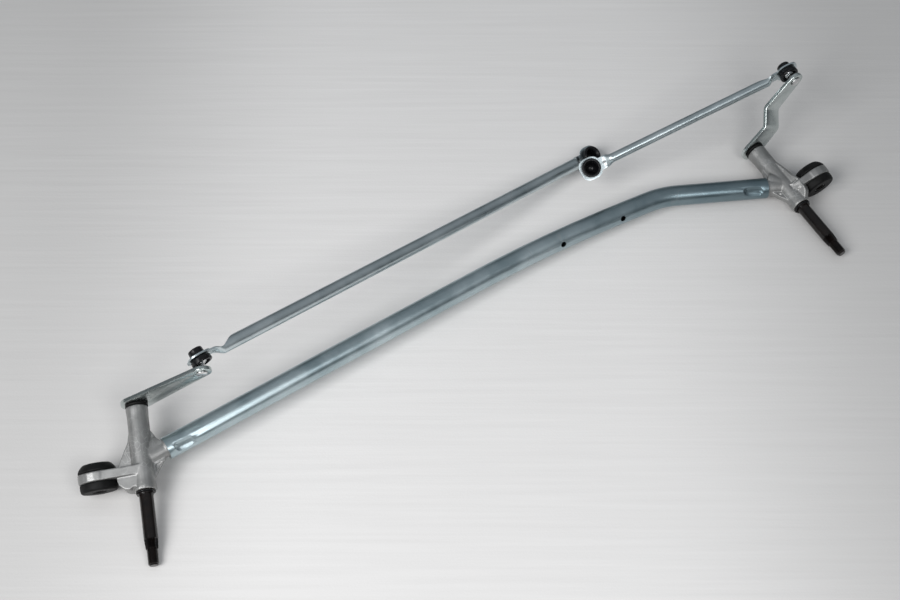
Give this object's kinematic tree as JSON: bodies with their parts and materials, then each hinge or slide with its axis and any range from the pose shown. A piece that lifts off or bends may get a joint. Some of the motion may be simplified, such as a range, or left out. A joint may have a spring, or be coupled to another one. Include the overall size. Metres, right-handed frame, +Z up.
{
  "type": "wiper linkage",
  "caption": "Two-spindle windscreen wiper linkage: bent tube frame with cast pivot housings, swinging cranks and ball-jointed sheet metal link rods.",
  "frame": {"origin": "middle of the floor area that the linkage covers, at floor level", "axes": "+X along the frame tube from the long link's spindle to the short link's, +Y away from the camera towards the cranks, +Z up as it lies on a table"},
  "size_m": [0.8482, 0.2502, 0.1086],
  "materials": {
    "zinc_plate": "bright zinc plate with a faint blue-grey tint",
    "cast_aluminium": "matte as-cast with machined rims",
    "black_steel": "glossy black",
    "rubber": "matte moulded",
    "black_plastic": "satin moulded",
    "bronze": "sintered",
    "bare_steel": "polished"
  },
  "bodies": {
    "frame": {"frame_tube": "zinc_plate", "left_pivot_housing": "cast_aluminium", "left_upper_bush": "bronze", "left_lower_bush": "bronze", "left_grommet": "rubber", "left_grommet_sleeve": "black_steel", "right_pivot_housing": "cast_aluminium", "right_upper_bush": "bronze", "right_lower_bush": "bronze", "right_grommet": "rubber", "right_grommet_sleeve": "black_steel"},
    "left_pivot": {"left_spindle": "black_steel", "left_crank": "zinc_plate", "left_ball_stud": "bare_steel", "left_seal_ring": "rubber", "left_lower_washer": "black_plastic", "left_circlip": "black_steel"},
    "right_pivot": {"right_spindle": "black_steel", "right_crank": "zinc_plate", "right_ball_stud": "bare_steel", "right_seal_ring": "rubber", "right_lower_washer": "black_plastic", "right_circlip": "black_steel"},
    "long_link": {"long_link_rod": "zinc_plate", "long_link_near_socket": "black_plastic", "long_link_far_socket": "black_plastic"},
    "short_link": {"short_link_rod": "zinc_plate", "short_link_near_socket": "black_plastic", "short_link_far_socket": "black_plastic"}
  },
  "joints": [
    {"name": "left_spindle_turn", "type": "hinge", "parent": "frame", "child": "left_pivot", "pos_m": [-0.34563, 0.02983, 0.03927], "axis": [0.2915, 0.9302, 0.2233], "range_deg": [-45, 45]},
    {"name": "right_spindle_turn", "type": "hinge", "parent": "frame", "child": "right_pivot", "pos_m": [0.36547, 0.02983, 0.01945], "axis": [-0.0244, 0.9974, 0.068], "range_deg": [-45, 45]},
    {"name": "long_link_swing", "type": "hinge", "parent": "left_pivot", "child": "long_link", "pos_m": [-0.2804, 0.01143, 0.09571], "axis": [0.2915, 0.9302, 0.2233], "range_deg": [-45, 45]},
    {"name": "short_link_swing", "type": "hinge", "parent": "right_pivot", "child": "short_link", "pos_m": [0.41111, 0.05545, 0.09379], "axis": [-0.0244, 0.9974, 0.068], "range_deg": [-45, 45]}
  ]
}
